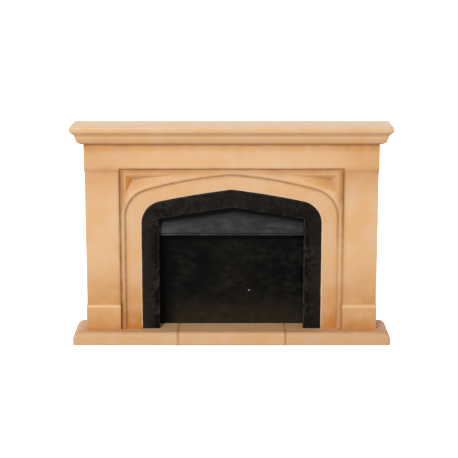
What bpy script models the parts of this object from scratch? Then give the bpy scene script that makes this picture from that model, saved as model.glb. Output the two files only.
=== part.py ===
"""Dolls' house fireplace with a Tudor arch, at one-twelfth scale.

Frame: X is the width, +Y points to the wall, +Z is up. The origin is under the middle
of the hearth, on the surface that the fireplace stands on. Units are metres.
Depths are measured forward from the flat back, which stands against the wall.
"""

import math

import bmesh
import bpy
from mathutils import Vector

MM = 0.001

# Driving dimensions
GAP = 0.3 * MM                   # glue line between neighbouring pieces
DEPTH = 23.5 * MM                # flat back to the front of the shelf and hearth
HEIGHT = 106.9 * MM
BODY_HALF = 70.8 * MM            # half the width of the frieze, and across the two plinths
PILASTER_HALF = 70.5 * MM        # half the width across the two pilasters
HEARTH_HALF = 77.4 * MM
SHELF_OVERHANG = 6.0 * MM        # beyond the frieze, at the ends and in front

# Heights of the joints between courses
HEARTH_TOP = 6.4 * MM
PLINTH_TOP = 19.0 * MM
CAPITAL = 84.8 * MM              # pilaster to frieze
SOFFIT = 86.15 * MM              # arch panel to frieze
FRIEZE_TOP = 98.3 * MM
MOULDING_TOP = 103.8 * MM

# Depths of the faces
PILASTER_FRONT = 17.2 * MM
PLINTH_FRONT = 17.9 * MM
PANEL_FRONT = 16.4 * MM
LINING_FRONT = 15.9 * MM
FRAME_FRONT = 15.5 * MM
FRAME_BACK = 12.5 * MM
FIREBACK_FRONT = 6.5 * MM

# Hearth
HEARTH_JOINT = 26.1 * MM         # joint lines, either side of the middle
HEARTH_END_ROUND = 3.9 * MM
HEARTH_FRONT_ROUND = 2.0 * MM
HEARTH_CORNER = 1.8 * MM         # front corners, seen from above

# Shelf slab and bed moulding
SHELF_TOP_ROUND = 0.6 * MM
SHELF_UNDER_ROUND = 1.0 * MM
SHELF_CORNER = 0.7 * MM
MOULDING_FOOT = 1.3 * MM         # overhang where the bead springs from the frieze
MOULDING_BEAD = 1.9 * MM         # radius of the bead
MOULDING_WAIST = (3.7 * MM, 101.4 * MM)    # overhang and height where the cove starts
MOULDING_COVE = 2.5 * MM         # radius of the cove under the shelf slab

# Plinths
PLINTH_CHAMFER = 0.9 * MM

# Widths either side of the middle
PILASTER_INNER = 54.2 * MM
PANEL_OPENING = 51.7 * MM
FRAME_OUTER = 43.5 * MM
FRAME_INNER = 35.0 * MM
CHEEK_INNER = 35.4 * MM

# Tudor arches: spring height, haunch radius, haunch angle in degrees, crown radius
PANEL_ARCH = (62.0 * MM, 14.5 * MM, 74, 200 * MM)
FRAME_ARCH = (59.1 * MM, 11.0 * MM, 78, 400 * MM)
FRAME_SHOULDER = 61.3 * MM       # inner corners of the frame
FRAME_CROWN = 67.0 * MM          # inner point of the frame

# Spandrel pockets in the arch panel, as (x, z) in the right half
POCKET_CORNER = (50.8 * MM, 82.9 * MM)
POCKET_TOP_TIP = (28.0 * MM, 83.0 * MM)
POCKET_SIDE_TIP = (50.9 * MM, 73.8 * MM)
POCKET_VALLEY = (47.8 * MM, 80.6 * MM)
POCKET_DEPTH = 1.3 * MM

# Smoke hood
HOOD_BOTTOM = 52.4 * MM
HOOD_TOP = 68.3 * MM
HOOD_HALF = 36.2 * MM
HOOD_SHEET = 1.0 * MM
HOOD_LIP = 0.8 * MM              # height of the rolled lip
HOOD_LIP_PROUD = 0.5 * MM

ARRIS = 0.35 * MM                # worn edge of a painted block
FINE_ARRIS = 0.2 * MM
CUTTER_OVERRUN = 2.0 * MM


def forward(depth):
    """Y of the plane that lies this far in front of the flat back."""
    return DEPTH / 2 - depth


def linear(red, green, blue):
    """Linear colour, near enough, from 8-bit display values."""
    return [(value / 255) ** 2.2 for value in (red, green, blue)] + [1.0]


def make_material(name, colour, roughness, metallic=0.0):
    material = bpy.data.materials.new(name)
    material.use_nodes = True
    shader = material.node_tree.nodes["Principled BSDF"]
    shader.inputs["Base Color"].default_value = colour
    shader.inputs["Roughness"].default_value = roughness
    shader.inputs["Metallic"].default_value = metallic
    material.diffuse_color = colour
    return material


def clear_scene():
    for obj in list(bpy.data.objects):
        bpy.data.objects.remove(obj, do_unlink=True)


def new_collection(name):
    collection = bpy.data.collections.new(name)
    bpy.context.scene.collection.children.link(collection)
    return collection


def new_empty(name, collection, parent=None):
    empty = bpy.data.objects.new(name, None)
    empty.empty_display_size = 0.01
    empty.parent = parent
    collection.objects.link(empty)
    return empty


def place(obj, collection):
    """Move an object out of the collections it is in and into this one."""
    for other in list(obj.users_collection):
        other.objects.unlink(obj)
    collection.objects.link(obj)


def finish(obj, collection, material, parent, arris=ARRIS):
    """Give a sub-part its place in the assembly, its material and its worn edges."""
    place(obj, collection)
    obj.parent = parent
    obj.data.materials.clear()
    obj.data.materials.append(material)
    bevel = obj.modifiers.new("worn_edges", "BEVEL")
    bevel.width = arris
    bevel.segments = 2
    bevel.limit_method = "ANGLE"
    bevel.angle_limit = math.radians(40)
    obj.data.shade_smooth()
    obj.data.set_sharp_from_angle(angle=math.radians(30))


def cut(obj, cutter, cutters):
    """Cut one shape out of another with a live Boolean."""
    place(cutter, cutters)
    cutter.hide_render = True
    cutter.display_type = "WIRE"
    boolean = obj.modifiers.new(cutter.name, "BOOLEAN")
    boolean.operation = "DIFFERENCE"
    boolean.solver = "EXACT"
    boolean.object = cutter


def object_from(shape, name):
    """Turn a bmesh into an object, with its faces pointing out."""
    bmesh.ops.recalc_face_normals(shape, faces=shape.faces)
    mesh = bpy.data.meshes.new(name)
    shape.to_mesh(mesh)
    shape.free()
    obj = bpy.data.objects.new(name, mesh)
    bpy.context.scene.collection.objects.link(obj)
    return obj


def block(name, x_range, depth_range, z_range):
    """A box between two X values, two depths and two heights."""
    middle = (sum(x_range) / 2, forward(sum(depth_range) / 2), sum(z_range) / 2)
    bpy.ops.mesh.primitive_cube_add(size=1, location=middle)
    obj = bpy.context.object
    obj.name = name
    obj.scale = [high - low for low, high in (x_range, depth_range, z_range)]
    bpy.ops.object.transform_apply(location=False, rotation=False, scale=True)
    return obj


def filled_outline(name, points, thickness, rotation, location):
    """Extrude a flat closed outline both ways, as one welded mesh."""
    curve = bpy.data.curves.new(name, "CURVE")
    curve.dimensions = "2D"
    curve.fill_mode = "BOTH"
    curve.extrude = thickness / 2
    spline = curve.splines.new("POLY")
    spline.points.add(len(points) - 1)
    for point, (across, up) in zip(spline.points, points):
        point.co = (across, up, 0.0, 1.0)
    spline.use_cyclic_u = True
    guide = bpy.data.objects.new(name + "_guide", curve)
    guide.rotation_euler = [math.radians(angle) for angle in rotation]
    guide.location = location
    bpy.context.scene.collection.objects.link(guide)
    bpy.context.view_layer.update()

    graph = bpy.context.evaluated_depsgraph_get()
    mesh = bpy.data.meshes.new_from_object(guide.evaluated_get(graph))
    shape = bmesh.new()
    shape.from_mesh(mesh)
    bmesh.ops.remove_doubles(shape, verts=shape.verts, dist=0.00001)
    bmesh.ops.dissolve_limit(shape, angle_limit=math.radians(0.1), verts=shape.verts,
                             edges=shape.edges)
    obj = object_from(shape, name)
    obj.matrix_world = guide.matrix_world
    bpy.data.meshes.remove(mesh)
    bpy.data.objects.remove(guide, do_unlink=True)
    return obj


def plate(name, outline, back, front):
    """A plate between two depths with an outline of (x, z) points."""
    location = (0.0, forward((front + back) / 2), 0.0)
    return filled_outline(name, outline, front - back, (90, 0, 0), location)


def bar(name, profile, half_length):
    """A bar along X, centred, with a profile of (depth, z) points."""
    section = [(forward(depth), z) for depth, z in profile]
    return filled_outline(name, section, 2 * half_length, (90, 0, 90), (0.0, 0.0, 0.0))


def arc(centre, radius, start, end, steps):
    """Points on a circle between two angles in degrees."""
    turns = [math.radians(start + (end - start) * step / steps) for step in range(steps + 1)]
    return [(centre[0] + radius * math.cos(turn), centre[1] + radius * math.sin(turn))
            for turn in turns]


def tudor_arch(half_width, arch, foot, offset=0.0):
    """A four-centred arch as (x, z) points, right foot to left foot, moved out by an offset."""
    spring, haunch, angle, crown = arch
    turn = math.radians(angle)
    haunch_centre = (half_width - haunch, spring)
    points = arc(haunch_centre, haunch + offset, 0, angle, 8)
    crown_centre = (haunch_centre[0] + (haunch - crown) * math.cos(turn),
                    haunch_centre[1] + (haunch - crown) * math.sin(turn))
    crown_radius = crown + offset
    peak = math.degrees(math.acos(-crown_centre[0] / crown_radius))
    points += arc(crown_centre, crown_radius, angle, peak, 5)[1:]
    points[-1] = (0.0, points[-1][1])
    right = [(half_width + offset, foot)] + points
    left = [(-x, z) for x, z in right[-2::-1]]
    return right + left


def loft(name, levels):
    """A closed solid through a stack of plan outlines, each given with its height."""
    shape = bmesh.new()
    rings = [[shape.verts.new((x, y, height)) for x, y in outline] for outline, height in levels]
    for lower, upper in zip(rings, rings[1:]):
        for index in range(len(lower)):
            following = (index + 1) % len(lower)
            shape.faces.new((lower[index], lower[following], upper[following], upper[index]))
    shape.faces.new(rings[0])
    shape.faces.new(rings[-1])
    return object_from(shape, name)


def slab_plan(left, right, front, left_corner=0.0, right_corner=0.0):
    """Plan of a slab from the flat back to a front depth, with front corners round or square."""
    near = forward(front)
    plan = [(left, forward(0.0))]
    if left_corner:
        plan += arc((left + left_corner, near + left_corner), left_corner, 180, 270, 3)
    else:
        plan.append((left, near))
    if right_corner:
        plan += arc((right - right_corner, near + right_corner), right_corner, 270, 360, 3)
    else:
        plan.append((right, near))
    plan.append((right, forward(0.0)))
    return plan


def moulded_slab(name, profile, corner):
    """A slab with the same profile at both ends and in front: (overhang, height) points."""
    levels = []
    for overhang, height in profile:
        half = BODY_HALF + overhang
        levels.append((slab_plan(-half, half, PILASTER_FRONT + overhang, corner, corner), height))
    return loft(name, levels)


def shelf_slab():
    """The mantel shelf, with a round top edge and a round undercut."""
    underside = MOULDING_TOP + GAP / 2
    under_centre = (SHELF_OVERHANG - SHELF_UNDER_ROUND, underside + SHELF_UNDER_ROUND)
    top_centre = (SHELF_OVERHANG - SHELF_TOP_ROUND, HEIGHT - SHELF_TOP_ROUND)
    profile = arc(under_centre, SHELF_UNDER_ROUND, -90, 0, 4)
    profile += arc(top_centre, SHELF_TOP_ROUND, 0, 90, 4)
    return moulded_slab("shelf_slab", profile, SHELF_CORNER)


def bed_moulding():
    """The moulding under the shelf: a round bead, and a cove that flares out to the shelf."""
    foot = FRIEZE_TOP + GAP / 2
    profile = arc((MOULDING_FOOT, foot + MOULDING_BEAD), MOULDING_BEAD, -90, -10, 5)
    waist, height = MOULDING_WAIST
    flare = math.degrees(math.asin((MOULDING_TOP - GAP / 2 - height) / MOULDING_COVE))
    profile += arc((waist + MOULDING_COVE, height), MOULDING_COVE, 180, 180 - flare, 4)
    return moulded_slab("bed_moulding", profile, SHELF_CORNER)


def frieze(cutters):
    """The block across the front, cut away below to take the arch panel."""
    obj = block("frieze", (-BODY_HALF, BODY_HALF), (0.0, PILASTER_FRONT),
                (CAPITAL + GAP / 2, FRIEZE_TOP - GAP / 2))
    notch = block("frieze_notch", (-PILASTER_INNER, PILASTER_INNER),
                  (-CUTTER_OVERRUN, PILASTER_FRONT + CUTTER_OVERRUN),
                  (CAPITAL - CUTTER_OVERRUN, SOFFIT + GAP / 2))
    cut(obj, notch, cutters)
    return obj


def side_range(side, outer):
    """X range of a pilaster or plinth: side is -1 on the left and 1 on the right."""
    return sorted((side * PILASTER_INNER, side * outer))


def pilaster(name, side):
    return block(name, side_range(side, PILASTER_HALF), (0.0, PILASTER_FRONT),
                 (PLINTH_TOP + GAP / 2, CAPITAL - GAP / 2))


def plinth(name, side):
    """A block that stands a little proud of its pilaster, with a chamfered top edge."""
    top = PLINTH_TOP - GAP / 2
    profile = [(0.0, HEARTH_TOP + GAP), (PLINTH_FRONT, HEARTH_TOP + GAP),
               (PLINTH_FRONT, top - PLINTH_CHAMFER), (PLINTH_FRONT - PLINTH_CHAMFER, top),
               (0.0, top)]
    low, high = side_range(side, BODY_HALF)
    obj = bar(name, profile, (high - low) / 2)
    obj.location.x = (low + high) / 2
    return obj


def pocket_cutter(side):
    """A three-sided chip: its point is the pocket's floor, and it widens to the front."""
    point = Vector((side * POCKET_VALLEY[0], forward(PANEL_FRONT - POCKET_DEPTH), POCKET_VALLEY[1]))
    shape = bmesh.new()
    shape.verts.new(point)
    for x, z in (POCKET_CORNER, POCKET_TOP_TIP, POCKET_SIDE_TIP):
        rim = Vector((side * x, forward(PANEL_FRONT), z))
        shape.verts.new(point + (rim - point) * 2)
    bmesh.ops.convex_hull(shape, input=shape.verts)
    return object_from(shape, "pocket_right" if side > 0 else "pocket_left")


def arch_panel(cutters):
    """The recessed panel round the arch, with two carved spandrel pockets."""
    half = PILASTER_INNER - GAP
    foot = HEARTH_TOP + GAP
    top = SOFFIT - GAP / 2
    outside = [(half, foot), (half, top), (-half, top), (-half, foot)]
    opening = tudor_arch(PANEL_OPENING, PANEL_ARCH, foot)
    obj = plate("arch_panel", outside + opening[::-1], 0.0, PANEL_FRONT)
    for side in (-1, 1):
        cut(obj, pocket_cutter(side), cutters)
    return obj


def arch_lining():
    """The plain ring inside the panel's arch, which holds the fire frame."""
    foot = HEARTH_TOP + GAP
    outside = tudor_arch(PANEL_OPENING, PANEL_ARCH, foot, -GAP)
    opening = tudor_arch(FRAME_OUTER, FRAME_ARCH, foot, GAP)
    return plate("arch_lining", outside + opening[::-1], 0.0, LINING_FRONT)


def fire_frame():
    """The black arched frame: a Tudor arch outside, straight sides to a point inside."""
    foot = HEARTH_TOP + GAP
    outside = tudor_arch(FRAME_OUTER, FRAME_ARCH, foot)
    opening = [(FRAME_INNER, foot), (FRAME_INNER, FRAME_SHOULDER), (0.0, FRAME_CROWN),
               (-FRAME_INNER, FRAME_SHOULDER), (-FRAME_INNER, foot)]
    return plate("fire_frame", outside + opening[::-1], FRAME_BACK, FRAME_FRONT)


def fireback():
    """The block that closes the opening at the back and stands flush with the wall face."""
    outline = tudor_arch(FRAME_OUTER, FRAME_ARCH, HEARTH_TOP + GAP)
    return plate("fireback", outline, 0.0, FIREBACK_FRONT)


def firebox_cheek(name, side):
    """A side wall of the fire opening, between the frame and the fireback."""
    return block(name, sorted((side * CHEEK_INNER, side * FRAME_OUTER)),
                 (FIREBACK_FRONT + GAP, FRAME_BACK - GAP), (HEARTH_TOP + GAP, HOOD_BOTTOM - GAP))


def smoke_hood():
    """A folded sheet that leans back from a rolled lip to the top of the fireback."""
    lip_front = FRAME_BACK - GAP
    sheet_front = lip_front - HOOD_LIP_PROUD
    top_back = FIREBACK_FRONT + GAP
    profile = [(sheet_front - HOOD_SHEET, HOOD_BOTTOM), (lip_front, HOOD_BOTTOM),
               (lip_front, HOOD_BOTTOM + HOOD_LIP), (sheet_front, HOOD_BOTTOM + HOOD_LIP),
               (top_back + HOOD_SHEET, HOOD_TOP), (top_back, HOOD_TOP)]
    return bar("smoke_hood", profile, HOOD_HALF)


def drawn_in(height, radius):
    """How far an edge rounded to this radius has drawn in at a height of the hearth."""
    rise = max(0.0, height - (HEARTH_TOP - radius))
    return radius - math.sqrt(max(0.0, radius * radius - rise * rise))


def hearth_slab(name, left, right, left_end=False, right_end=False):
    """A hearth slab, round along its front top edge, and over its end where it has one."""
    round_foot = HEARTH_TOP - HEARTH_END_ROUND
    levels = [0.0] + [height for _, height in arc((0.0, round_foot), HEARTH_END_ROUND, 0, 90, 6)]
    outlines = []
    for height in levels:
        end = drawn_in(height, HEARTH_END_ROUND)
        front = DEPTH - drawn_in(height, HEARTH_FRONT_ROUND)
        outlines.append((slab_plan(left + end * left_end, right - end * right_end, front,
                                   HEARTH_CORNER * left_end, HEARTH_CORNER * right_end), height))
    return loft(name, outlines)


def build():
    clear_scene()
    fireplace = new_collection("miniature_fireplace")
    cutters = new_collection("cutters")

    stone = make_material("sandstone_paint", linear(222, 180, 135), 0.62)
    hearth_stone = make_material("hearth_paint", linear(208, 164, 120), 0.62)
    frame_black = make_material("frame_black_paint", linear(40, 33, 31), 0.5)
    hood_grey = make_material("hood_grey_paint", linear(58, 58, 58), 0.55)
    soot_black = make_material("fireback_black_paint", linear(28, 25, 23), 0.6)

    whole = new_empty("fireplace", fireplace)
    surround = new_empty("surround", fireplace, whole)
    insert = new_empty("fire_insert", fireplace, whole)
    hearth = new_empty("hearth", fireplace, whole)

    for obj in (frieze(cutters), arch_panel(cutters), arch_lining(),
                pilaster("pilaster_left", -1), pilaster("pilaster_right", 1),
                plinth("plinth_left", -1), plinth("plinth_right", 1),
                bed_moulding(), shelf_slab()):
        finish(obj, fireplace, stone, surround)

    finish(fire_frame(), fireplace, frame_black, insert)
    finish(smoke_hood(), fireplace, hood_grey, insert, FINE_ARRIS)
    for obj in (fireback(), firebox_cheek("firebox_cheek_left", -1),
                firebox_cheek("firebox_cheek_right", 1)):
        finish(obj, fireplace, soot_black, insert, FINE_ARRIS)

    inner = HEARTH_JOINT - GAP / 2
    outer = HEARTH_JOINT + GAP / 2
    for obj in (hearth_slab("hearth_left", -HEARTH_HALF, -outer, left_end=True),
                hearth_slab("hearth_centre", -inner, inner),
                hearth_slab("hearth_right", outer, HEARTH_HALF, right_end=True)):
        finish(obj, fireplace, hearth_stone, hearth, FINE_ARRIS)


build()
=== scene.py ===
"""Looks of a dolls' house fireplace: painted stone surround and hearth, black fire insert.

Each piece made here stands for the CAD node that it is named after, in the same place. It has
finer arcs, softened arrises, a slightly uneven hand-finished surface and painted materials.
X is the width, -Y faces the viewer and +Z is up. Units are metres.
"""
import math

import bmesh
import bpy
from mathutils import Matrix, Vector, noise
from mathutils.bvhtree import BVHTree


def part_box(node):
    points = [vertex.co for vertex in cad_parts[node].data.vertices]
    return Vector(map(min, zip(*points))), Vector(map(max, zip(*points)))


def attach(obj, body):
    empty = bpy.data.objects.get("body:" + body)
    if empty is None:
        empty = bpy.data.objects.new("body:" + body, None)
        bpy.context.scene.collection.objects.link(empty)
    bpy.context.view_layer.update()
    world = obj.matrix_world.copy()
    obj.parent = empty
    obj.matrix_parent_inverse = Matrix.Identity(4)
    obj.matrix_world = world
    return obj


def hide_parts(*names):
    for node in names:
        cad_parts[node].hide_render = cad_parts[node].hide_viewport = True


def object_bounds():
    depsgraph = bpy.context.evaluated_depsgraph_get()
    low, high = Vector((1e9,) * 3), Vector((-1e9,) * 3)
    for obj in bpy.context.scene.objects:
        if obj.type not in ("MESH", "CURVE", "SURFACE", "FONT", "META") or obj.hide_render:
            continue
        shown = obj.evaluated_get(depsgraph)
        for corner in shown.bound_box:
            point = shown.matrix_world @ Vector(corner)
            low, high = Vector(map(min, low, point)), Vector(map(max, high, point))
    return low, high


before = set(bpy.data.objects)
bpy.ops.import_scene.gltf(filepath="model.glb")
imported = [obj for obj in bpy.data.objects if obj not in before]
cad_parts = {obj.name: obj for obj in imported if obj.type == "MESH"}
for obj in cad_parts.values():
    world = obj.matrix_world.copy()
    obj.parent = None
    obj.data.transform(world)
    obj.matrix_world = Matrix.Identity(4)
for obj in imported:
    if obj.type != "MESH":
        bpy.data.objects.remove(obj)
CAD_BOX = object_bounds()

MM = 0.001


def low(node):
    """The low corner of a CAD node's box."""
    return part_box(node)[0]


def high(node):
    """The high corner of a CAD node's box."""
    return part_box(node)[1]


# Faces and joints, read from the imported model
WALL = CAD_BOX[1].y
FRIEZE_HALF = high("frieze").x
PILASTER_HALF = high("pilaster_right").x
PILASTER_INNER = low("pilaster_right").x
PILASTER_FACE = low("pilaster_right").y
PANEL_FACE = low("arch_panel").y
LINING_FACE = low("arch_lining").y
FRAME_FACE = low("fire_frame").y
FRAME_REAR = high("fire_frame").y
FRAME_OUTER = high("fire_frame").x
HEARTH_TOP = high("hearth_centre").z
GAP = 0.3 * MM                   # glue line between CAD pieces
CLOSE_UP = 0.22 * MM             # each piece grows this much, so that the glue lines close
FOOT = HEARTH_TOP - 0.4 * MM     # the pieces that stand on the hearth are bedded into it
PANEL_OPENING = high("arch_lining").x + GAP

# Shapes that the boxes don't tell, as in the CAD design
SHELF_CORNER = 0.7 * MM
SHELF_TOP_ROUND = 0.6 * MM
SHELF_UNDER_ROUND = 1.0 * MM
MOULDING_FOOT = 1.3 * MM
MOULDING_BEAD = 1.9 * MM
MOULDING_WAIST = (3.7 * MM, 101.4 * MM)
MOULDING_COVE = 2.5 * MM
HEARTH_END_ROUND = 3.9 * MM
HEARTH_FRONT_ROUND = 2.0 * MM
HEARTH_CORNER = 1.8 * MM
PLINTH_CHAMFER = 0.9 * MM
PANEL_ARCH = (62.0 * MM, 14.5 * MM, 74, 200 * MM)   # spring, haunch radius and angle, crown radius
FRAME_ARCH = (59.1 * MM, 11.0 * MM, 78, 400 * MM)
FRAME_INNER = 35.0 * MM
FRAME_SHOULDER = 61.3 * MM
FRAME_CROWN = 67.0 * MM
POCKET_CORNER = (50.8 * MM, 82.9 * MM)
POCKET_TOP_TIP = (28.0 * MM, 83.0 * MM)
POCKET_SIDE_TIP = (50.9 * MM, 73.8 * MM)
POCKET_VALLEY = (47.8 * MM, 80.6 * MM)
POCKET_DEPTH = 1.3 * MM
HOOD_SHEET = 1.0 * MM
HOOD_LIP = 0.8 * MM
HOOD_LIP_PROUD = 0.5 * MM

# Surface finish
ARRIS = 0.35 * MM
FRAME_ARRIS = 0.55 * MM
FINE_ARRIS = 0.2 * MM
GRID = 2.0 * MM                          # spacing of the mesh on the flat faces
GRID_MARGIN = 1.0 * MM                   # from the outermost cuts to the ends
ROWS = (0.2 * MM, 0.25 * MM, 0.35 * MM)  # extra rows beside the arrises
LEAST_FLAT = 20 * MM * MM                # area of the smallest face that gets extra rows
ROWS_OVER_LIP = (0.3 * MM, 0.5 * MM, 0.7 * MM)    # extra rows on the hood, for its shadow line
SHARP_EDGE = 40                          # degrees: edges that are softened
SHARP_SHADING = 30                       # degrees: edges that still shade as creases
BROAD_SWELL = 14 * MM                    # size of the broad unevenness, and of the fine
FINE_SWELL = 3.5 * MM
STONE_SWELL = 0.07 * MM                  # how far the stones are uneven, and the hearth slabs
HEARTH_SWELL = 0.06 * MM
HAUNCH_STEPS = 20                        # straight steps in each kind of arc
CROWN_STEPS = 12
CORNER_STEPS = 8
BEAD_STEPS = 12
COVE_STEPS = 10
HEARTH_STEPS = 14

# Strokes of the brush, each as where it fades in and where it is full; a few are painted shade and
# light, as noted. They are heights, except that ACROSS is a distance from the middle, SIDE is an X
# and FORWARD is a Y.
FOOT_STROKE = (43 * MM, 19 * MM)
LOW_FOOT_STROKE = (22 * MM, 9 * MM)
PILASTER_TOP_STROKE = (68 * MM, 84 * MM)
PLINTH_EDGE_STROKE = (18.2 * MM, 16.6 * MM)
PLINTH_FOOT_STROKE = (16 * MM, 8 * MM)
# stain and painted shade on the frieze, under the moulding
FRIEZE_UNDER_MOULDING_SHADE = (93 * MM, 98 * MM)
FRIEZE_FOOT_STROKE = (87.5 * MM, 85 * MM)
FRIEZE_ENDS_ACROSS = (40 * MM, 60 * MM)
# painted shade towards the moulding's foot, where it faces down
MOULDING_FOOT_SHADE_STROKE = (101.5 * MM, 99 * MM)
PANEL_TOP_STROKE = (81.5 * MM, 84.5 * MM)
PANEL_TOP_ACROSS = (8 * MM, 24 * MM)
PANEL_CORNER_STROKE = (60 * MM, 76 * MM)
PANEL_CORNER_ACROSS = (50 * MM, 52 * MM)
POCKET_TOP_ACROSS = (34 * MM, 44 * MM)
POCKET_SLOPE_ACROSS = (34 * MM, 46 * MM)
HEARTH_FLAT_STROKE = (HEARTH_TOP - 1.5 * MM, HEARTH_TOP - 0.2 * MM)
HEARTH_RIM_STROKE = (HEARTH_TOP - 2.2 * MM, HEARTH_TOP - 1.2 * MM)
# painted contact shadow at the hearth's bottom edge
HEARTH_CONTACT_SHADOW_STROKE = (1.0 * MM, 0.3 * MM)
HEARTH_RIGHT_SIDE = (26 * MM, 32 * MM)
HEARTH_END_SIDE = (68 * MM, 73 * MM)
HEARTH_FORWARD = (PILASTER_FACE, CAD_BOX[0].y + 1 * MM)
FRAME_TOP_STROKE = (60 * MM, 68 * MM)
FRAME_EDGE_ACROSS = (FRAME_INNER + 1 * MM, FRAME_OUTER - 2 * MM)
HOOD_LEFT_SIDE = (-22 * MM, -34 * MM)
# painted light: the warm glow of the hearth on the fireback's foot
HEARTH_GLOW_STROKE = (26 * MM, HEARTH_TOP)
WORN_MIDDLE = 2 * MM             # X of the middle of the fireback's worn patch
WORN_ACROSS = (16 * MM, 4 * MM)  # from there

# Shadows on the black pieces
SHADOW_BELOW_FRAME = (6.4 * MM, 3.6 * MM)    # below the frame's inner edge, on the hood
SHADOW_OVER_LIP = (0.6 * MM, 0.35 * MM)      # above the hood's lip
LIP_EDGE = 0.1 * MM                          # and below here there is none, on the lip
SHADOW_SIDE = (-25 * MM, -33 * MM)           # on the fireback, behind the frame's left leg

# Pale paint on the arrises, partly painted highlight, and brown with painted shade in the pockets
FLAT_BEND = 5                    # degrees between faces that count as flat
ARRIS_BEND = 19                  # and as an arris
POCKET_RIM = 0.4 * MM            # how far a pocket's paint laps over its rim
POCKET_SLOPE_RIM = 0.5 * MM      # the same, along its long slanting edge

# How strongly the brown is washed into the joint between two pieces, and how far it spreads
NO_WASH = (0.0, 0.5 * MM)
JOINT_WASH = {
    ("pilaster", "plinth"): NO_WASH,
    ("pilaster", "frieze"): (0.25, 1.6 * MM),
    ("shelf_slab", "bed_moulding"): NO_WASH,
    ("bed_moulding", "frieze"): NO_WASH,
    ("frieze", "arch_panel"): (0.6, 1.4 * MM),
    ("pilaster", "arch_panel"): (0.7, 1.6 * MM),
    ("plinth", "arch_panel"): (1.0, 1.9 * MM),
    ("arch_panel", "arch_lining"): (0.55, 1.3 * MM),
    ("hearth", "hearth"): (0.7, 0.6 * MM),
}
FOOT_WASH = (0.3, 1.2 * MM)      # round the feet on the hearth, and in every other joint
FULL_WASH = 0.25                 # share of the spread that has the full strength
FAINT_WASH = (60 * MM, 40 * MM)  # heights over which it gets fainter downwards, on the right

# A small pale spot on the fireback
PALE_SPOT_PLACE = (8.6 * MM, low("fireback").y, 23.4 * MM)
PALE_SPOT_RADIUS = 0.25 * MM

# Studio
BACKDROP = 1.03                  # white, low round the horizon
ROOM = 0.35                      # dim walls and ceiling
FLOOR_LIGHT = 0.5                # what the floor sends up to the fireplace
FRONT_FADE = (0.13, 0.26)        # sine of the height at which white turns to room, in front
BACK_FADE = (0.75, 0.98)         # and behind
BEHIND = (0.0, 0.3)              # how far round from the side counts as behind
HORIZON_FADE = (-0.06, -0.03)
FLOOR_SIZE = 20
FLOOR_GLOW = 0.9
KEY_AZIMUTH = -17                # degrees round from the front, to the left
KEY_ELEVATION = 31
KEY_DISTANCE = 1.3
KEY_SIZE = 0.28
KEY_POWER = 10.0
KEY_AIM = Vector((0, 0, 0.05))
CAMERA_LENS = 109.886            # millimetres, on a 36 mm sensor
CAMERA_PLACE = (-1.25 * MM, PILASTER_FACE - 659.4 * MM, 200.5 * MM)
CAMERA_TILT = 77.7               # degrees up from straight down


# ---------------------------------------------------------------- shapes

def arc(centre, radius, start, end, steps):
    """Points on a circle between two angles in degrees."""
    turns = [math.radians(start + (end - start) * step / steps) for step in range(steps + 1)]
    return [(centre[0] + radius * math.cos(turn), centre[1] + radius * math.sin(turn))
            for turn in turns]


def tudor_arch(half_width, arch, foot, offset=0.0):
    """A four-centred arch as (x, z) points, right foot to left foot, moved out by an offset."""
    spring, haunch, angle, crown = arch
    turn = math.radians(angle)
    centre = (half_width - haunch, spring)
    points = arc(centre, haunch + offset, 0, angle, HAUNCH_STEPS)
    crown_centre = (centre[0] + (haunch - crown) * math.cos(turn),
                    centre[1] + (haunch - crown) * math.sin(turn))
    crown_radius = crown + offset
    peak = math.degrees(math.acos(-crown_centre[0] / crown_radius))
    points += arc(crown_centre, crown_radius, angle, peak, CROWN_STEPS)[1:]
    points[-1] = (0.0, points[-1][1])
    right = [(half_width + offset, foot)] + points
    left = [(-x, z) for x, z in right[-2::-1]]
    return right + left


def stitch(shape, rings):
    """Walls between rings of vertices, closed at both ends."""
    for lower, upper in zip(rings, rings[1:]):
        for index in range(len(lower)):
            following = (index + 1) % len(lower)
            shape.faces.new((lower[index], lower[following], upper[following], upper[index]))
    shape.faces.new(rings[0])
    shape.faces.new(rings[-1])
    bmesh.ops.recalc_face_normals(shape, faces=shape.faces)
    return shape


def plate(outline, face, rear):
    """A plate with an outline of (x, z) points, between its face and its rear."""
    shape = bmesh.new()
    return stitch(shape, [[shape.verts.new((x, y, z)) for x, z in outline] for y in (face, rear)])


def bar(profile, left, right):
    """A bar along X with a profile of (y, z) points."""
    shape = bmesh.new()
    return stitch(shape, [[shape.verts.new((x, y, z)) for y, z in profile] for x in (left, right)])


def loft(levels):
    """A solid through a stack of plan outlines, each given with its height."""
    shape = bmesh.new()
    return stitch(shape, [[shape.verts.new((x, y, z)) for x, y in plan] for plan, z in levels])


def rectangle(left, right, bottom, top):
    """An outline of (x, z) points."""
    return [(left, bottom), (right, bottom), (right, top), (left, top)]


def soften(shape, width, segments=4):
    """Round every sharp edge of a solid to this width."""
    shape.normal_update()
    sharp = [edge for edge in shape.edges if edge.calc_face_angle(0.0) > math.radians(SHARP_EDGE)]
    bmesh.ops.bevel(shape, geom=sharp, offset=width, offset_type="OFFSET", segments=segments,
                    profile=0.5, affect="EDGES", clamp_overlap=True)
    shape.normal_update()
    return shape


def add_rows(shape, axes, widths=ROWS):
    """Narrow rows of faces along the edges of the large flat faces that face these axes."""
    flats = [face for face in shape.faces if face.calc_area() > LEAST_FLAT
             and max(abs(face.normal["XYZ".index(axis)]) for axis in axes) > 0.999]
    for width in widths:
        bmesh.ops.inset_individual(shape, faces=flats, thickness=width, use_even_offset=True)
    return shape


def slice_up(shape, axis, places):
    """Cut the mesh along planes across one axis, without changing its shape."""
    normal = Vector((axis == "X", axis == "Y", axis == "Z"))
    for place in places:
        parts = shape.verts[:] + shape.edges[:] + shape.faces[:]
        bmesh.ops.bisect_plane(shape, geom=parts, dist=0.01 * MM, plane_co=normal * place,
                               plane_no=normal)
    return shape


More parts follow.
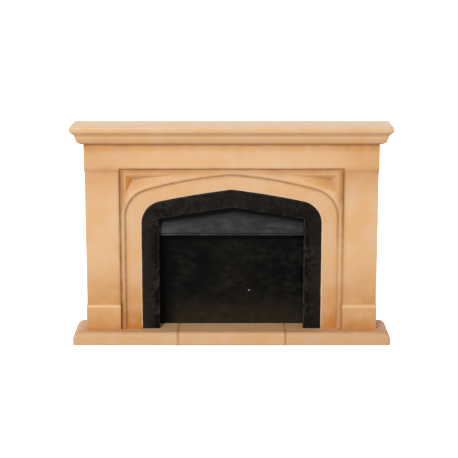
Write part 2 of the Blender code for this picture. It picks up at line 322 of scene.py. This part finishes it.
def grid(shape, step=GRID, margin=GRID_MARGIN):
    """Cut the mesh into cells, so that the surface can be uneven."""
    for index, axis in enumerate("XYZ"):
        places = [vert.co[index] for vert in shape.verts]
        start, end = min(places) + margin, max(places) - margin
        count = max(1, round((end - start) / step))
        slice_up(shape, axis, [start + (end - start) * part / count for part in range(count + 1)])
    return shape


def wobble(shape, swell, seed):
    """Move the surface in and out by smooth noise, like a casting finished by hand."""
    shape.normal_update()
    offset = Vector((seed * 0.37, seed * 0.11, seed * 0.53))
    moves = []
    for vert in shape.verts:
        broad = noise.noise(vert.co / BROAD_SWELL + offset)
        fine = noise.noise(vert.co / FINE_SWELL + offset)
        moves.append(vert.normal * swell * (broad + 0.35 * fine))
    for vert, move in zip(shape.verts, moves):
        vert.co += move
        vert.co.z = max(0.0, vert.co.z)
    return shape


# ---------------------------------------------------------------- pieces

def slab_plan(left, right, face, left_corner=0.0, right_corner=0.0):
    """Plan of a slab from the wall to its face, with its front corners round or square."""
    plan = [(left, WALL)]
    if left_corner:
        plan += arc((left + left_corner, face + left_corner), left_corner, 180, 270,
                    CORNER_STEPS)
    else:
        plan.append((left, face))
    if right_corner:
        plan += arc((right - right_corner, face + right_corner), right_corner, 270, 360,
                    CORNER_STEPS)
    else:
        plan.append((right, face))
    plan.append((right, WALL))
    return plan


def moulded_slab(profile):
    """A slab with the same profile at both ends and in front: (overhang, height) points."""
    levels = []
    for overhang, height in profile:
        half = FRIEZE_HALF + overhang
        levels.append((slab_plan(-half, half, PILASTER_FACE - overhang, SHELF_CORNER, SHELF_CORNER),
                       height))
    return loft(levels)


def shelf_slab():
    """The shelf, round on top and on its underside."""
    overhang = high("shelf_slab").x - FRIEZE_HALF
    bottom, top = low("shelf_slab").z, high("shelf_slab").z
    under = overhang - SHELF_UNDER_ROUND
    profile = [(under, bottom - CLOSE_UP)]
    profile += arc((under, bottom + SHELF_UNDER_ROUND), SHELF_UNDER_ROUND, -90, 0, CORNER_STEPS)
    profile += arc((overhang - SHELF_TOP_ROUND, top - SHELF_TOP_ROUND), SHELF_TOP_ROUND, 0, 90,
                   CORNER_STEPS)
    return moulded_slab(profile)


def bed_moulding():
    """A round bead, and over it a cove that flares out to the shelf."""
    bottom, top = low("bed_moulding").z, high("bed_moulding").z
    profile = [(MOULDING_FOOT, bottom - CLOSE_UP)]
    profile += arc((MOULDING_FOOT, bottom + MOULDING_BEAD), MOULDING_BEAD, -90, -10, BEAD_STEPS)
    waist, height = MOULDING_WAIST
    flare = math.degrees(math.asin((top - height) / MOULDING_COVE))
    profile += arc((waist + MOULDING_COVE, height), MOULDING_COVE, 180, 180 - flare, COVE_STEPS)
    profile.append((profile[-1][0], top + CLOSE_UP))
    return moulded_slab(profile)


def frieze():
    """The block across the front, cut away below for the panel."""
    bottom, top = low("frieze").z - CLOSE_UP, high("frieze").z + CLOSE_UP + ARRIS
    soffit = high("arch_panel").z + GAP - CLOSE_UP
    inner = PILASTER_INNER - CLOSE_UP
    outline = [(-FRIEZE_HALF, bottom), (-inner, bottom), (-inner, soffit), (inner, soffit),
               (inner, bottom), (FRIEZE_HALF, bottom), (FRIEZE_HALF, top), (-FRIEZE_HALF, top)]
    shape = soften(plate(outline, PILASTER_FACE, WALL), ARRIS)
    return add_rows(shape, "XYZ")


def side_range(side, outer):
    """Left and right of a pilaster or plinth: side is -1 on the left and 1 on the right."""
    return sorted((side * (PILASTER_INNER - CLOSE_UP), side * outer))


def pilaster(side):
    """A square shaft, which stands a little way down inside the plinth's top."""
    bottom, top = low("pilaster_left").z - 2 * PLINTH_CHAMFER, high("pilaster_left").z + CLOSE_UP
    left, right = side_range(side, PILASTER_HALF)
    shape = soften(plate(rectangle(left, right, bottom, top), PILASTER_FACE, WALL), ARRIS)
    return add_rows(shape, "XYZ")


def plinth(side):
    """A block with a chamfered top edge, a little proud of the shaft."""
    face = low("plinth_left").y
    top = high("plinth_left").z + CLOSE_UP
    profile = [(WALL, FOOT), (face, FOOT), (face, top - PLINTH_CHAMFER),
               (face + PLINTH_CHAMFER, top), (WALL, top)]
    shape = soften(bar(profile, *side_range(side, FRIEZE_HALF)), ARRIS)
    return add_rows(shape, "XYZ")


def pocket(side):
    """A three-sided chip in the panel: its point is the pocket's floor."""
    point = Vector((side * POCKET_VALLEY[0], PANEL_FACE + POCKET_DEPTH, POCKET_VALLEY[1]))
    shape = bmesh.new()
    shape.verts.new(point)
    for x, z in (POCKET_CORNER, POCKET_TOP_TIP, POCKET_SIDE_TIP):
        shape.verts.new(point + (Vector((side * x, PANEL_FACE, z)) - point) * 2)
    bmesh.ops.convex_hull(shape, input=shape.verts)
    return shape


def cut(shape, cutter):
    """Take one solid out of another."""
    objects = []
    for solid in (shape, cutter):
        mesh = bpy.data.meshes.new("cut")
        solid.to_mesh(mesh)
        solid.free()
        objects.append(bpy.data.objects.new("cut", mesh))
        bpy.context.scene.collection.objects.link(objects[-1])
    target, tool = objects
    boolean = target.modifiers.new("cut", "BOOLEAN")
    boolean.object = tool
    boolean.solver = "EXACT"
    graph = bpy.context.evaluated_depsgraph_get()
    result = bmesh.new()
    result.from_object(target, graph)
    for obj in objects:
        bpy.data.meshes.remove(obj.data)
    return result


def arch_panel():
    """The panel round the arch, with two carved pockets."""
    half = high("arch_panel").x + CLOSE_UP
    top = high("arch_panel").z + CLOSE_UP
    outside = [(half, FOOT), (half, top), (-half, top), (-half, FOOT)]
    opening = tudor_arch(PANEL_OPENING, PANEL_ARCH, FOOT, -CLOSE_UP)
    shape = soften(plate(outside + opening[::-1], PANEL_FACE, WALL), ARRIS)
    add_rows(shape, "Y")
    for side in (-1, 1):
        shape = cut(shape, pocket(side))
    return shape


def arch_lining():
    """The plain ring between the panel and the frame."""
    outside = tudor_arch(PANEL_OPENING, PANEL_ARCH, FOOT, CLOSE_UP - GAP)
    opening = tudor_arch(FRAME_OUTER, FRAME_ARCH, FOOT, GAP - CLOSE_UP)
    shape = soften(plate(outside + opening[::-1], LINING_FACE, WALL), ARRIS)
    return add_rows(shape, "Y")


def fire_frame():
    """The black frame: arched outside, straight sides to a point inside."""
    outside = tudor_arch(FRAME_OUTER, FRAME_ARCH, FOOT)
    opening = [(FRAME_INNER, FOOT), (FRAME_INNER, FRAME_SHOULDER), (0.0, FRAME_CROWN),
               (-FRAME_INNER, FRAME_SHOULDER), (-FRAME_INNER, FOOT)]
    shape = soften(plate(outside + opening[::-1], FRAME_FACE, FRAME_REAR), FRAME_ARRIS)
    return add_rows(shape, "Y")


def fireback():
    """The block that closes the opening at the back."""
    outline = tudor_arch(FRAME_OUTER, FRAME_ARCH, FOOT)
    shape = soften(plate(outline, low("fireback").y, WALL), FINE_ARRIS)
    return add_rows(shape, "Y")


def firebox_cheek(side):
    """A side wall of the fire opening."""
    node = "firebox_cheek_right" if side > 0 else "firebox_cheek_left"
    outline = rectangle(low(node).x, high(node).x, FOOT, high(node).z)
    return soften(plate(outline, low(node).y, high(node).y), FINE_ARRIS)


def smoke_hood():
    """A folded sheet that leans back from a rolled lip."""
    lip, back = low("smoke_hood").y, high("smoke_hood").y
    bottom, top = low("smoke_hood").z, high("smoke_hood").z
    sheet = lip + HOOD_LIP_PROUD
    profile = [(sheet + HOOD_SHEET, bottom), (lip, bottom), (lip, bottom + HOOD_LIP),
               (sheet, bottom + HOOD_LIP), (back - HOOD_SHEET, top), (back, top)]
    shape = soften(bar(profile, low("smoke_hood").x, high("smoke_hood").x), FINE_ARRIS)
    over_lip = bottom + HOOD_LIP
    return slice_up(shape, "Z", [over_lip + rise for rise in ROWS_OVER_LIP])


def drawn_in(height, radius):
    """How far an edge rounded to this radius has drawn in at a height of the hearth."""
    rise = max(0.0, height - (HEARTH_TOP - radius))
    return radius - math.sqrt(max(0.0, radius * radius - rise * rise))


def hearth_slab(node, left_end=False, right_end=False):
    """A slab that is round along its front top edge, and over its end where it has one."""
    left = low(node).x - CLOSE_UP * (not left_end)
    right = high(node).x + CLOSE_UP * (not right_end)
    foot = HEARTH_TOP - HEARTH_END_ROUND
    round_edge = arc((0.0, foot), HEARTH_END_ROUND, 0, 90, HEARTH_STEPS)
    levels = [0.0] + [height for _, height in round_edge]
    outlines = []
    for height in levels:
        end = drawn_in(height, HEARTH_END_ROUND)
        face = CAD_BOX[0].y + drawn_in(height, HEARTH_FRONT_ROUND)
        outlines.append((slab_plan(left + end * left_end, right - end * right_end, face,
                                   HEARTH_CORNER * left_end, HEARTH_CORNER * right_end), height))
    return soften(loft(outlines), FINE_ARRIS, 3)


# ---------------------------------------------------------------- paint marks

def ramp(value, start, end):
    """0 at the start, 1 at the end, with a smooth slope between."""
    share = min(1.0, max(0.0, (value - start) / (end - start)))
    return share * share * (3 - 2 * share)


def by_side(place, left, right):
    """Left and right values: heavier brushing on one side, and painted shade from light on the
    left.
    """
    return left if place.x < 0 else right


def stone_stain_and_shade(node, place):
    """How much brown is on the surround here, from 0 to 1: brushed stain, with painted shade in
    places.
    """
    across = abs(place.x)
    foot = ramp(place.z, *FOOT_STROKE)
    low_foot = ramp(place.z, *LOW_FOOT_STROKE)
    if node.startswith("pilaster"):
        return 0.62 * foot + by_side(place, 0.3, 0.42) * ramp(place.z, *PILASTER_TOP_STROKE)
    if node.startswith("plinth"):
        body = by_side(place, 0.36, 0.48) * ramp(place.z, *PLINTH_EDGE_STROKE)
        return body + 0.36 * ramp(place.z, *PLINTH_FOOT_STROKE)
    if node == "frieze":
        # stain with painted shade: darker on the frieze just under the moulding
        stain_and_shade_under_moulding = 0.65 * ramp(place.z, *FRIEZE_UNDER_MOULDING_SHADE)
        ends = 0.26 * ramp(across, *FRIEZE_ENDS_ACROSS)
        return stain_and_shade_under_moulding + ends + 0.15 * ramp(place.z, *FRIEZE_FOOT_STROKE)
    if node == "bed_moulding":
        # stain, with a little painted shade added towards the foot, where the moulding faces down
        return 0.15 + 0.08 * ramp(place.z, *MOULDING_FOOT_SHADE_STROKE)
    if node == "arch_panel":
        # stain at the feet; the heavier share on the left is partly painted shade from the left
        # pilaster
        leg = 0.5 * foot + by_side(place, 0.4, 0.1) * low_foot
        corner = ramp(across, *PANEL_CORNER_ACROSS) * ramp(place.z, *PANEL_CORNER_STROKE)
        top = ramp(place.z, *PANEL_TOP_STROKE)
        under_frieze = (0.25 + 0.4 * ramp(across, *PANEL_TOP_ACROSS)) * top
        return leg + max(0.85 * corner, under_frieze)
    if node == "arch_lining":
        return 0.08 + 0.45 * foot + by_side(place, 0.6, 0.4) * low_foot
    return 0.0


def hearth_stain_and_shadow(node, place):
    """Brown on the right slab, its end and front top edge; painted contact shadow at the hearth's
    foot.
    """
    right = 0.15 * ramp(place.x, *HEARTH_RIGHT_SIDE)
    end = 0.3 * ramp(place.x, *HEARTH_END_SIDE) * ramp(place.z, *HEARTH_FLAT_STROKE)
    rim = ramp(place.z, *HEARTH_RIM_STROKE) * ramp(place.y, *HEARTH_FORWARD)
    # painted shadow: darker along the bottom edge, where the hearth meets the floor
    foot = 0.8 * ramp(place.z, *HEARTH_CONTACT_SHADOW_STROKE)
    brushed = 0.1 if node == "hearth_centre" else 0.4
    return right + end + brushed * rim + foot


def frame_stain(node, place):
    """The brush left the frame greyer towards its outer edge."""
    leg = by_side(place, 1.0, 0.7) * ramp(abs(place.x), *FRAME_EDGE_ACROSS)
    return max(leg, 0.5 * ramp(place.z, *FRAME_TOP_STROKE))


def hood_stain(node, place):
    """The grey brush left most paint at the left end."""
    return 0.6 * ramp(place.x, *HOOD_LEFT_SIDE)


def fireback_glow_and_stain(node, place):
    """Painted glow of the hearth at the fireback's foot, and a little brown in the middle."""
    paler = ramp(abs(place.x - WORN_MIDDLE), *WORN_ACROSS)
    return max(ramp(place.z, *HEARTH_GLOW_STROKE), 0.16 * paler)


def painted_shadow(node, place):
    """Painted shadow of the frame and the hood's lip: where it is deepest black, from 0 to 1."""
    if node == "smoke_hood":
        slope = (FRAME_CROWN - FRAME_SHOULDER) / FRAME_INNER
        below = FRAME_CROWN - abs(place.x) * slope - place.z
        over_lip = place.z - low(node).z - HOOD_LIP
        line = 0.8 * ramp(over_lip, *SHADOW_OVER_LIP) * (over_lip > -LIP_EDGE)
        return max(ramp(below, *SHADOW_BELOW_FRAME), line)
    if node == "fireback":
        return 0.85 * ramp(place.x, *SHADOW_SIDE)
    return 0.0


def mark(piece, name, values):
    """Store a value per vertex, which a material reads by this name."""
    piece.data.attributes.new(name, "FLOAT", "POINT").data.foreach_set("value", values)


def mark_by_rule(piece, name, node, rule):
    """Store what a rule says of each vertex's place on a node."""
    mark(piece, name, [rule(node, vert.co) for vert in piece.data.vertices])


def in_pocket(place):
    """Whether a place on the panel is in a spandrel pocket or on its rim."""
    across, up = abs(place.x), place.z
    if place.y > PANEL_FACE + POCKET_DEPTH + POCKET_RIM:
        return False
    if across > POCKET_CORNER[0] + POCKET_RIM or up > POCKET_CORNER[1] + POCKET_RIM:
        return False
    (x0, z0), (x1, z1) = POCKET_SIDE_TIP, POCKET_TOP_TIP
    beyond = (up - z0) * (x0 - x1) - (x0 - across) * (z1 - z0)
    return beyond > -POCKET_SLOPE_RIM * math.hypot(x0 - x1, z1 - z0)


def mark_arrises(piece, node, strength):
    """Pale wear and painted highlight: full on arrises, fainter on the shelf's top, else none."""
    shape = bmesh.new()
    shape.from_mesh(piece.data)
    values = []
    for vert in shape.verts:
        bend = max((edge.calc_face_angle_signed(0.0) for edge in vert.link_edges), default=0.0)
        value = min(1.0, max(0.0, (math.degrees(bend) - FLAT_BEND) / (ARRIS_BEND - FLAT_BEND)))
        if node == "fire_frame":
            # painted highlight: on the frame it stays mostly on arrises that face the light from
            # the left
            value *= 1.0 - 0.8 * ramp(vert.normal.x, 0.1, 0.5)
        if node == "shelf_slab":
            # painted sheen on the shelf's top, stronger towards the back
            far = ramp(vert.co.y, CAD_BOX[0].y, WALL)
            value = max(value, (0.4 + 0.5 * far) * ramp(vert.normal.z, 0.5, 0.9))
        if node == "arch_panel" and in_pocket(vert.co):
            value = 0.0
        values.append(strength * value)
    shape.free()
    mark(piece, "arris_wear_and_highlight", values)


def mark_pockets(piece):
    """A value per face for the pockets' brown, stain and painted shade: each facet has its own."""
    values = []
    for face in piece.data.polygons:
        facing, place = face.normal, face.center
        across = abs(place.x)
        slanting = 0.3 < -facing.y < 0.995
        value = 0.0
        if slanting and in_pocket(place):
            if facing.z < -0.2:                 # faces down, under the frieze
                # stain with painted shade, as this facet faces down
                value = 0.2 + 0.35 * ramp(across, *POCKET_TOP_ACROSS)
            elif abs(facing.x) > 0.25:          # faces the middle, beside the pilaster
                # painted shade: the left pocket's facet faces away from the light from the left,
                # the right one towards it
                value = by_side(place, 0.95, 0.3)
            else:                               # the long one, above the arch
                value = 0.15 + by_side(place, 0.1, 0.25) * ramp(across, *POCKET_SLOPE_ACROSS)
        values.append(value)
    piece.data.attributes.new("pocket_stain_and_shade", "FLOAT", "FACE").data.foreach_set("value", values)


def wash_between(node, other):
    """Strength and reach of the wash in the joint between two nodes."""
    for (first, second), wash in JOINT_WASH.items():
        for one, two in ((node, other), (other, node)):
            if one.startswith(first) and two.startswith(second):
                return wash
    return FOOT_WASH


def mark_creases(piece, node, trees):
    """The wash: strongest against a neighbour, falling away from it, and deep in the pockets."""
    others = [(tree, *wash_between(node, other)) for other, tree in trees.items() if other != node]
    values = []
    for vert in piece.data.vertices:
        value = 0.0
        for tree, strength, reach in others:
            distance = tree.find_nearest(vert.co, reach)[3]
            if distance is not None:
                value = max(value, strength * ramp(distance, reach, FULL_WASH * reach))
        if vert.co.x > 0 and not node.startswith("hearth"):
            value *= 1.0 - 0.5 * ramp(vert.co.z, *FAINT_WASH)
        if node == "arch_panel" and in_pocket(vert.co):
            value = 0.45 * max(0.0, vert.co.y - PANEL_FACE) / POCKET_DEPTH
        values.append(value)
    mark(piece, "crease", values)


# ---------------------------------------------------------------- materials

def display(red, green, blue):
    """Linear colour from 8-bit display values."""
    values = [channel / 255 for channel in (red, green, blue)]
    return [value / 12.92 if value <= 0.04045 else ((value + 0.055) / 1.055) ** 2.4
            for value in values] + [1.0]


class Paint:
    """A material's node tree, with short calls for the nodes that these materials use."""

    def __init__(self, name, specular):
        self.material = bpy.data.materials.new(name)
        self.material.use_nodes = True
        self.tree = self.material.node_tree
        self.shader = self.tree.nodes["Principled BSDF"]
        self.shader.inputs["Specular IOR Level"].default_value = specular
        self.place = self.tree.nodes.new("ShaderNodeTexCoord").outputs["Object"]

    def join(self, source, socket):
        """Link a node's output to a socket, or set a number or colour on it."""
        if hasattr(source, "is_linked"):
            self.tree.links.new(source, socket)
        else:
            socket.default_value = source

    def spread(self, value, start, end, bottom=0.0, top=1.0):
        """Map start..end to bottom..top."""
        node = self.tree.nodes.new("ShaderNodeMapRange")
        self.join(value, node.inputs["Value"])
        for name, number in (("From Min", start), ("From Max", end), ("To Min", bottom),
                             ("To Max", top)):
            node.inputs[name].default_value = number
        return node.outputs["Result"]

    def pattern(self, size, low_end=0.35, high_end=0.65, detail=3.0, stretch=(1, 1, 1), bottom=0.0,
                top=1.0):
        """Noise with features of this size, spread over bottom to top."""
        mapping = self.tree.nodes.new("ShaderNodeMapping")
        self.tree.links.new(self.place, mapping.inputs["Vector"])
        mapping.inputs["Scale"].default_value = [1 / (size * part) for part in stretch]
        texture = self.tree.nodes.new("ShaderNodeTexNoise")
        self.tree.links.new(mapping.outputs["Vector"], texture.inputs["Vector"])
        texture.inputs["Scale"].default_value = 1.0
        texture.inputs["Detail"].default_value = detail
        return self.spread(texture.outputs["Fac"], low_end, high_end, bottom, top)

    def maths(self, operation, first, second):
        """One sum on two values."""
        node = self.tree.nodes.new("ShaderNodeMath")
        node.operation = operation
        self.join(first, node.inputs[0])
        self.join(second, node.inputs[1])
        return node.outputs["Value"]

    def product(self, *factors):
        """All the factors multiplied together."""
        value = factors[0]
        for factor in factors[1:]:
            value = self.maths("MULTIPLY", value, factor)
        return value

    def mix(self, share, first, second):
        """Blend two colours."""
        node = self.tree.nodes.new("ShaderNodeMix")
        node.data_type = "RGBA"
        node.clamp_factor = True
        sockets = {socket.identifier: socket for socket in node.inputs}
        self.join(share, sockets["Factor_Float"])
        self.join(first, sockets["A_Color"])
        self.join(second, sockets["B_Color"])
        return next(socket for socket in node.outputs if socket.identifier == "Result_Color")

    def mark(self, name):
        """A value that was marked on the mesh."""
        node = self.tree.nodes.new("ShaderNodeAttribute")
        node.attribute_name = name
        return node.outputs["Fac"]

    def near(self, place, radius):
        """1 within a radius of a place, falling to 0 a little outside it."""
        node = self.tree.nodes.new("ShaderNodeVectorMath")
        node.operation = "DISTANCE"
        self.tree.links.new(self.place, node.inputs[0])
        node.inputs[1].default_value = place
        return self.spread(node.outputs["Value"], radius, radius * 1.4, 1.0, 0.0)

    def bump(self, height, distance, strength=1.0, under=None):
        """A normal that follows a height, on top of another bump."""
        node = self.tree.nodes.new("ShaderNodeBump")
        node.inputs["Distance"].default_value = distance
        node.inputs["Strength"].default_value = strength
        self.join(height, node.inputs["Height"])
        if under is not None:
            self.tree.links.new(under, node.inputs["Normal"])
        return node.outputs["Normal"]

    def set(self, name, value):
        """Link or set one of the shader's inputs."""
        self.join(value, self.shader.inputs[name])


def stone_material(name, pale, golden, stain_and_painted_light, wash, edge, roughness=0.32, pockets=False):
    """Satin sandstone paint: cloudy tints, brushed stains and painted shade, brown washed into the
    joints.
    """
    paint = Paint(name, specular=0.5)
    colour = paint.mix(paint.pattern(11 * MM), pale, golden)
    uneven = paint.pattern(6 * MM, bottom=0.75, top=1.1)
    # the stain mark: brushed brown, with painted shade in places
    colour = paint.mix(paint.product(paint.mark("stain_and_painted_light"), uneven), colour, stain_and_painted_light)
    if pockets:
        # the pockets' brown: stain, and painted shade on the facets that face away from the light
        colour = paint.mix(paint.mark("pocket_stain_and_shade"), colour, display(206, 136, 62))
        paint.set("Specular IOR Level", paint.spread(paint.mark("pocket_stain_and_shade"), 0.0, 0.3, 0.5, 0.1))
    broken = paint.pattern(3 * MM, bottom=0.45, top=1.0)
    # pale arrises: partly wear, partly painted highlight and sheen
    paler = paint.maths("SUBTRACT", paint.mark("arris_wear_and_highlight"), paint.product(paint.mark("crease"), 1.6))
    colour = paint.mix(paint.product(paler, broken), colour, edge)
    patchy = paint.pattern(4 * MM, bottom=0.7, top=1.0)
    colour = paint.mix(paint.product(paint.mark("crease"), patchy), colour, wash)
    specks = paint.pattern(0.6 * MM, 0.62, 0.72)
    colour = paint.mix(paint.product(specks, 0.10), colour, wash)
    paint.set("Base Color", colour)
    grain = paint.pattern(0.5 * MM, detail=2.0)
    paint.set("Roughness", paint.spread(grain, 0.0, 1.0, roughness, roughness + 0.14))
    coarse = paint.bump(paint.pattern(2.5 * MM, 0.0, 1.0), 0.05 * MM, 0.5)
    paint.set("Normal", paint.bump(grain, 0.012 * MM, 0.6, coarse))
    return paint.material


def black_material(name, dark, light, specular, tone_and_glow, stretch=(1, 1, 1), with_pale_spot=False):
    """Black paint, brush-mottled, dry grey on its edges, with painted shadow, glow and highlight.
    """
    paint = Paint(name, specular)
    dabs = paint.pattern(2.2 * MM, 0.38, 0.66, detail=5.0, stretch=stretch)
    clouds = paint.pattern(8 * MM, 0.3, 0.7)
    colour = paint.mix(paint.product(dabs, clouds), dark, light)
    # second colour: a brushed tone, and on the fireback the painted glow of the hearth
    colour = paint.mix(paint.product(paint.mark("stain_and_painted_light"), paint.pattern(3 * MM, bottom=0.6)),
                       colour, tone_and_glow)
    # painted shadow: near black where the frame and the hood's lip shade the pieces
    colour = paint.mix(paint.mark("painted_shadow"), colour, display(5, 5, 4))
    # dry grey on the arrises: partly dry brushing, partly painted highlight
    dry_grey_and_highlight = display(80, 74, 68)
    colour = paint.mix(paint.product(paint.mark("arris_wear_and_highlight"), paint.pattern(3 * MM)), colour, dry_grey_and_highlight)
    if with_pale_spot:
        colour = paint.mix(paint.near(PALE_SPOT_PLACE, PALE_SPOT_RADIUS), colour, display(190, 185, 170))
    paint.set("Base Color", colour)
    paint.set("Roughness", paint.spread(dabs, 0.0, 1.0, 0.42, 0.58))
    coarse = paint.bump(paint.pattern(2 * MM, 0.0, 1.0, stretch=stretch), 0.15 * MM, 0.8)
    paint.set("Normal", paint.bump(paint.pattern(0.5 * MM, 0.0, 1.0), 0.03 * MM, 0.8, coarse))
    return paint.material


# ---------------------------------------------------------------- assembly

def make_piece(node, shape, material, swell, seed, rule, arris_wear_and_highlight=0.5):
    """Finish a solid as the piece that stands for a CAD node."""
    grid(shape)
    wobble(shape, swell, seed)
    many_sided = [face for face in shape.faces if len(face.verts) > 4]
    bmesh.ops.triangulate(shape, faces=many_sided)
    bmesh.ops.recalc_face_normals(shape, faces=shape.faces)
    mesh = bpy.data.meshes.new(node + "_painted")
    shape.to_mesh(mesh)
    shape.free()
    mesh.shade_smooth()
    mesh.set_sharp_from_angle(angle=math.radians(SHARP_SHADING))
    mesh.materials.append(material)
    piece = bpy.data.objects.new(node + "_painted", mesh)
    bpy.context.scene.collection.objects.link(piece)
    mark_arrises(piece, node, arris_wear_and_highlight)
    # brushed stain, and in places painted shade and glow
    mark_by_rule(piece, "stain_and_painted_light", node, rule)
    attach(piece, "root")
    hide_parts(node)
    return piece


def arris_paint(node):
    """How much pale paint, wear and painted highlight, the arrises of a stone have."""
    if node == "arch_lining":
        return 1.0
    return 0.15 if node.startswith("plinth") else 0.5


def tree_of(piece):
    """A search tree over a piece's faces."""
    points = [vert.co for vert in piece.data.vertices]
    return BVHTree.FromPolygons(points, [face.vertices for face in piece.data.polygons])


def build_stone():
    """The surround and the hearth."""
    wash = display(134, 74, 16)
    edge = display(243, 218, 186)
    stone = stone_material("sandstone_paint", pale=display(229, 187, 143),
                           golden=display(228, 178, 124), stain_and_painted_light=display(194, 126, 50),
                           wash=wash, edge=edge, pockets=True)
    hearth = stone_material("hearth_paint", pale=display(217, 175, 134),
                            golden=display(216, 167, 116), stain_and_painted_light=display(190, 136, 92),
                            wash=wash, edge=edge, roughness=0.6)

    shapes = {
        "shelf_slab": shelf_slab(), "bed_moulding": bed_moulding(), "frieze": frieze(),
        "pilaster_left": pilaster(-1), "pilaster_right": pilaster(1),
        "plinth_left": plinth(-1), "plinth_right": plinth(1),
        "arch_panel": arch_panel(), "arch_lining": arch_lining(),
    }
    slabs = {
        "hearth_left": hearth_slab("hearth_left", left_end=True),
        "hearth_centre": hearth_slab("hearth_centre"),
        "hearth_right": hearth_slab("hearth_right", right_end=True),
    }
    painted = {}
    for seed, (node, shape) in enumerate(shapes.items()):
        painted[node] = make_piece(node, shape, stone, STONE_SWELL, seed,
                                   stone_stain_and_shade, arris_paint(node))
    for seed, (node, shape) in enumerate(slabs.items(), 20):
        painted[node] = make_piece(node, shape, hearth, HEARTH_SWELL, seed,
                                   hearth_stain_and_shadow)
    trees = {node: tree_of(piece) for node, piece in painted.items()}
    for node, piece in painted.items():
        mark_creases(piece, node, trees)
    mark_pockets(painted["arch_panel"])


def build_insert():
    """The black frame, the hood and the firebox."""
    frame_black = black_material("frame_black_paint", display(5, 4, 3), display(50, 45, 41),
                                 specular=0.08, tone_and_glow=display(36, 31, 27))
    hood_grey = black_material("hood_grey_paint", display(22, 22, 23), display(70, 70, 72),
                               specular=0.2, tone_and_glow=display(84, 84, 86), stretch=(4, 1, 1))
    # its second colour is the painted warm glow of the hearth, at the fireback's foot
    soot_black = black_material("fireback_black_paint", display(7, 7, 6), display(30, 29, 25),
                                specular=0.06, tone_and_glow=display(46, 38, 27), stretch=(2, 1, 1),
                                with_pale_spot=True)
    # node, solid, paint, slot, how far it is uneven, and where its second colour goes
    pieces = (
        ("fire_frame", fire_frame(), frame_black, "frame_black", 0.16 * MM, frame_stain),
        ("smoke_hood", smoke_hood(), hood_grey, "hood_grey", 0.10 * MM, hood_stain),
        ("fireback", fireback(), soot_black, "soot_black", 0.10 * MM, fireback_glow_and_stain),
        ("firebox_cheek_left", firebox_cheek(-1), soot_black, "soot_black", 0.04 * MM,
         fireback_glow_and_stain),
        ("firebox_cheek_right", firebox_cheek(1), soot_black, "soot_black", 0.04 * MM,
         fireback_glow_and_stain),
    )
    for seed, (node, shape, material, slot, swell, rule) in enumerate(pieces, 40):
        piece = make_piece(node, shape, material, swell, seed, rule)
        # painted shadow on the hood and the fireback
        mark_by_rule(piece, "painted_shadow", node, painted_shadow)


# ---------------------------------------------------------------- studio

def white_floor():
    """A pale floor, burnt out to white, that the world below lights the object through."""
    bpy.ops.mesh.primitive_plane_add(size=FLOOR_SIZE, location=(0, 0, 0))
    floor = bpy.context.object
    floor.name = "studio_floor"
    paint = Paint("studio_floor", specular=0.0)
    paint.set("Base Color", display(245, 245, 245))
    paint.set("Roughness", 0.9)
    paint.set("Emission Color", display(255, 255, 255))
    paint.set("Emission Strength", FLOOR_GLOW)
    floor.data.materials.append(paint.material)
    floor.visible_diffuse = False
    floor.visible_glossy = False
    floor.visible_shadow = False


def soft_light():
    """A white horizon, a dim room above it, a half-bright floor below, and a soft key light."""
    world = bpy.data.worlds.new("studio")
    world.use_nodes = True
    bpy.context.scene.world = world
    tree = world.node_tree
    direction = tree.nodes.new("ShaderNodeTexCoord").outputs["Generated"]
    split = tree.nodes.new("ShaderNodeSeparateXYZ")
    tree.links.new(direction, split.inputs["Vector"])

    def fade(source, start, end, bottom, top):
        """Go smoothly from bottom to top as the source goes from start to end."""
        node = tree.nodes.new("ShaderNodeMapRange")
        node.interpolation_type = "SMOOTHSTEP"
        tree.links.new(source, node.inputs["Value"])
        for name, value in (("From Min", start), ("From Max", end)):
            node.inputs[name].default_value = value
        for name, value in (("To Min", bottom), ("To Max", top)):
            if hasattr(value, "is_linked"):
                tree.links.new(value, node.inputs[name])
            else:
                node.inputs[name].default_value = value
        return node.outputs["Result"]

    height = split.outputs["Z"]
    front = fade(height, *FRONT_FADE, BACKDROP, ROOM)
    back = fade(height, *BACK_FADE, BACKDROP, ROOM)
    above = fade(split.outputs["Y"], *BEHIND, front, back)
    strength = fade(height, *HORIZON_FADE, FLOOR_LIGHT, above)
    background = tree.nodes["Background"]
    background.inputs["Color"].default_value = (1, 1, 1, 1)
    tree.links.new(strength, background.inputs["Strength"])

    light = bpy.data.lights.new("key", "AREA")
    light.shape = "DISK"
    light.size = KEY_SIZE
    light.energy = KEY_POWER
    key = bpy.data.objects.new("key", light)
    azimuth, elevation = math.radians(KEY_AZIMUTH), math.radians(KEY_ELEVATION)
    towards_key = Vector((math.sin(azimuth) * math.cos(elevation),
                          -math.cos(azimuth) * math.cos(elevation),
                          math.sin(elevation)))
    key.location = KEY_AIM + KEY_DISTANCE * towards_key
    key.rotation_euler = (-towards_key).to_track_quat("-Z", "Y").to_euler()
    key.visible_camera = False
    bpy.context.scene.collection.objects.link(key)


def camera():
    """A long lens in front of the fireplace, looking a little down."""
    data = bpy.data.cameras.new("camera")
    data.lens = CAMERA_LENS
    data.sensor_width = 36
    data.clip_start = 0.01
    data.clip_end = 50
    viewer = bpy.data.objects.new("camera", data)
    viewer.location = CAMERA_PLACE
    viewer.rotation_euler = (math.radians(CAMERA_TILT), 0, 0)
    bpy.context.scene.collection.objects.link(viewer)
    bpy.context.scene.camera = viewer


build_stone()
build_insert()
white_floor()
soft_light()
camera()
bpy.context.scene.view_settings.view_transform = "Standard"
